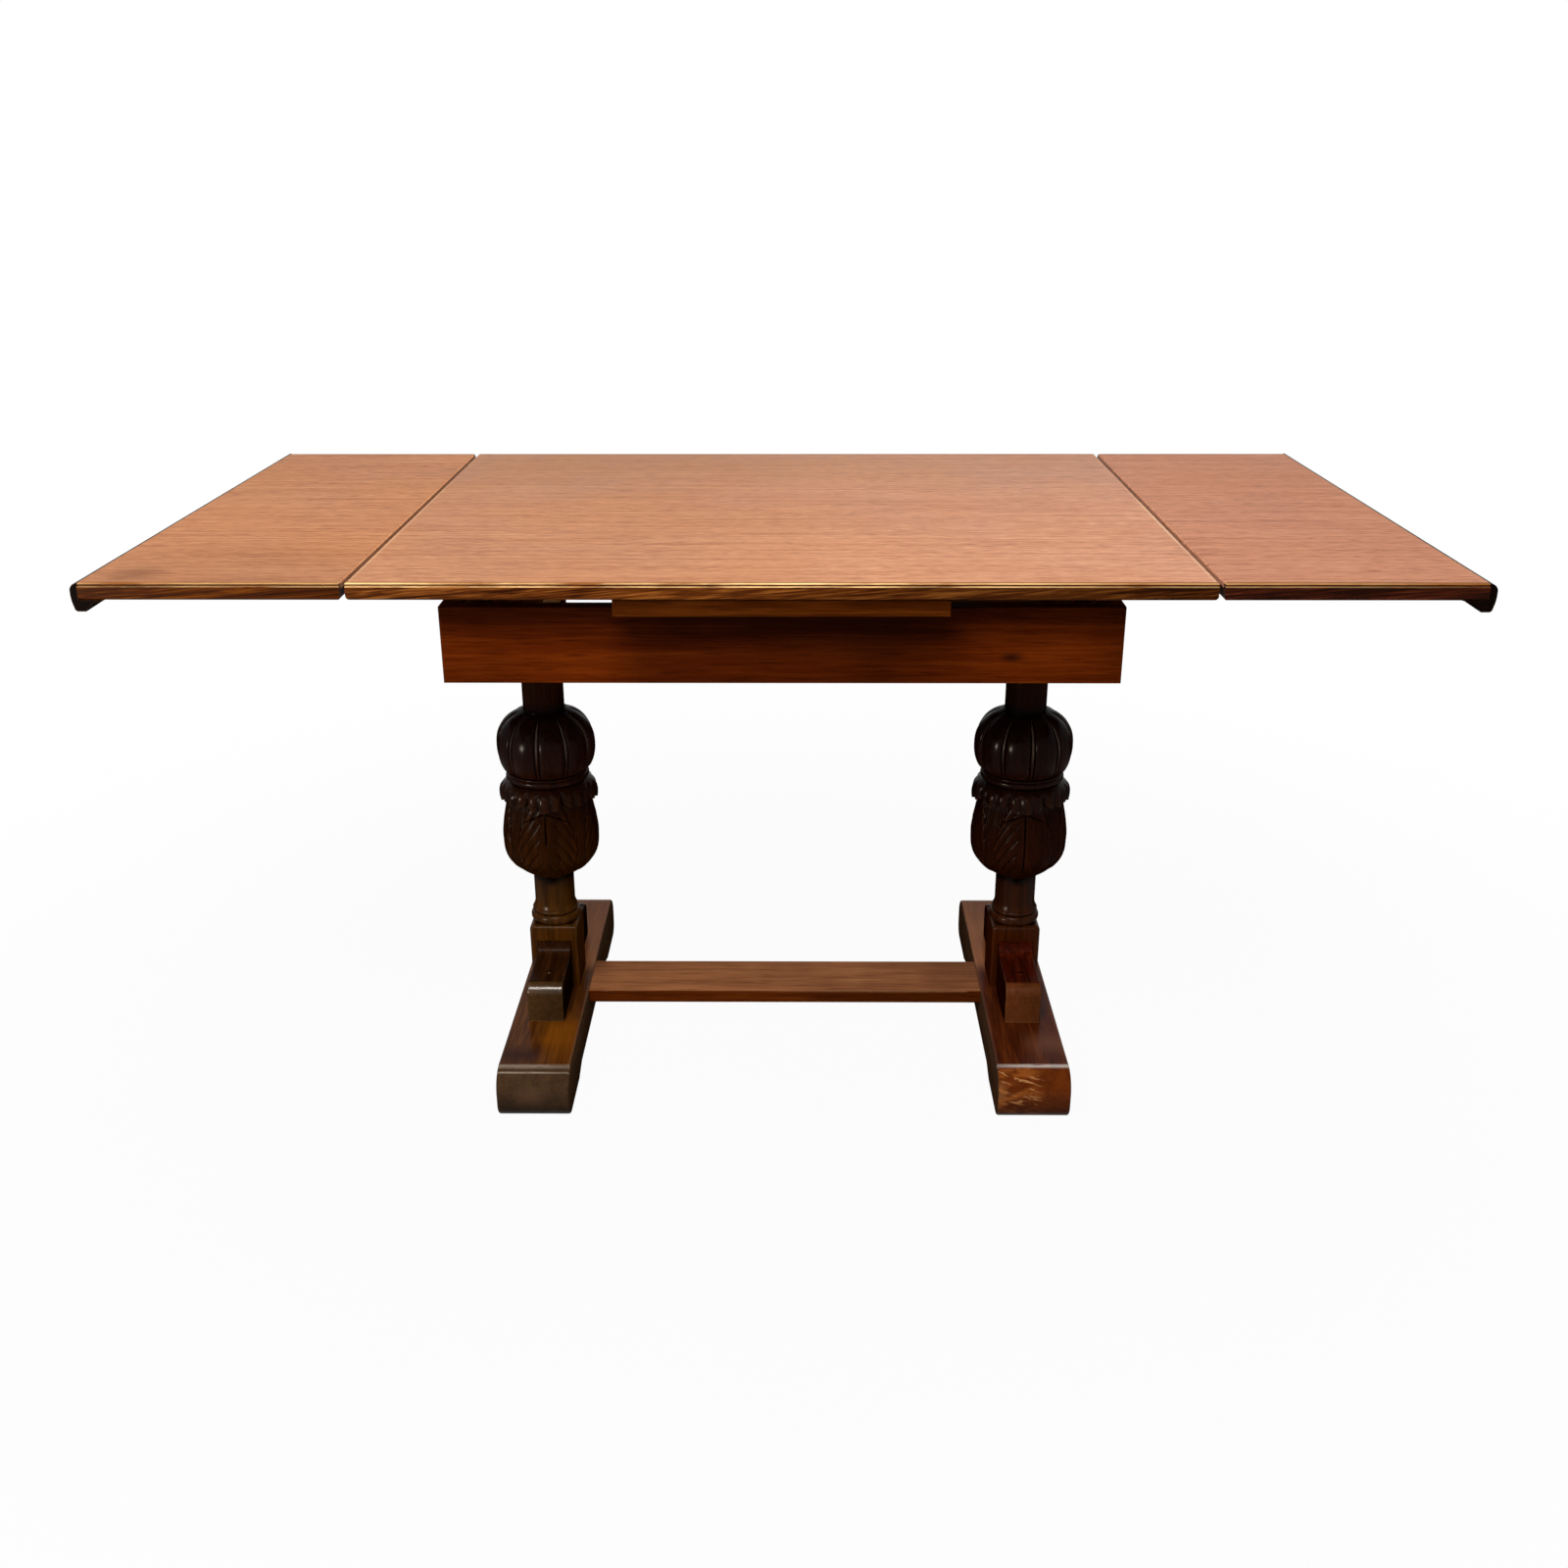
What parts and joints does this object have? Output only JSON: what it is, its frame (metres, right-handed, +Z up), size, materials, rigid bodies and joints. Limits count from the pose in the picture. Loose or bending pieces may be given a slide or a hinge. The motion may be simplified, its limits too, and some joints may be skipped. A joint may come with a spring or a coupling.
{
  "type": "draw-leaf trestle dining table",
  "caption": "Oak draw-leaf dining table: carved cup-and-cover trestle legs on sledge feet with a stretcher; a lift-off top and end leaves that slide in on tapered lopers.",
  "frame": {"origin": "on the floor at the middle of the table, with both leaves drawn out", "axes": "+X along the table towards the right-hand leaf, +Y across it to the back, +Z up"},
  "size_m": [1.4922, 0.762, 0.736],
  "materials": {
    "top_veneer": "satin polished reddish tan oak veneer",
    "left_leaf_veneer": "satin polished tan oak veneer",
    "right_leaf_veneer": "satin polished redder oak veneer",
    "lipping_oak": "polished dark stained oak",
    "lip_oak": "polished near-black stained oak",
    "centre_oak": "stained oak, little polish",
    "apron_oak": "satin dark red-brown stained oak",
    "carved_oak": "glossy near-black stained oak",
    "foot_oak": "polished dark oak, worn on the toes",
    "stretcher_oak": "satin red-brown stained oak",
    "frame_beech": "plain unpolished hardwood",
    "screw_steel": "dull aged steel"
  },
  "bodies": {
    "frame": {"centre_board": "centre_oak", "centre_board_screws": "screw_steel", "front_apron": "apron_oak", "back_apron": "apron_oak", "stretcher": "stretcher_oak", "corner_blocks": "frame_beech", "bracket_screws": "screw_steel", "left_end_rail": "apron_oak", "left_guide_rail": "frame_beech", "left_bearer": "frame_beech", "left_leg": "carved_oak", "left_foot": "foot_oak", "left_front_bracket": "foot_oak", "left_back_bracket": "foot_oak", "right_end_rail": "apron_oak", "right_guide_rail": "frame_beech", "right_bearer": "frame_beech", "right_leg": "carved_oak", "right_foot": "foot_oak", "right_front_bracket": "foot_oak", "right_back_bracket": "foot_oak"},
    "top": {"top_panel": "top_veneer", "top_front_lipping": "lipping_oak", "top_back_lipping": "lipping_oak", "top_guide_pegs": "frame_beech"},
    "left_leaf": {"left_leaf_panel": "left_leaf_veneer", "left_leaf_front_lipping": "lipping_oak", "left_leaf_back_lipping": "lipping_oak", "left_leaf_lip": "lip_oak", "left_front_loper": "frame_beech", "left_back_loper": "frame_beech", "left_leaf_screws": "screw_steel", "left_loper_stops": "frame_beech"},
    "right_leaf": {"right_leaf_panel": "right_leaf_veneer", "right_leaf_front_lipping": "lipping_oak", "right_leaf_back_lipping": "lipping_oak", "right_leaf_lip": "lip_oak", "right_front_loper": "frame_beech", "right_back_loper": "frame_beech", "right_leaf_screws": "screw_steel", "right_loper_stops": "frame_beech"}
  },
  "joints": [
    {"name": "top_lift", "type": "slide", "parent": "frame", "child": "top", "axis": [0, 0, 1], "range_m": [0, 0.6]},
    {"name": "left_leaf_slide", "type": "slide", "parent": "frame", "child": "left_leaf", "axis": [0.998, 0, -0.0633], "range_m": [0, 0.28457]},
    {"name": "right_leaf_slide", "type": "slide", "parent": "frame", "child": "right_leaf", "axis": [-0.998, 0, -0.0633], "range_m": [0, 0.28457]}
  ],
  "couplings": [
    {"joint": "left_leaf_slide", "follows": "top_lift", "ratio": 0.47428},
    {"joint": "right_leaf_slide", "follows": "top_lift", "ratio": 0.47428}
  ]
}
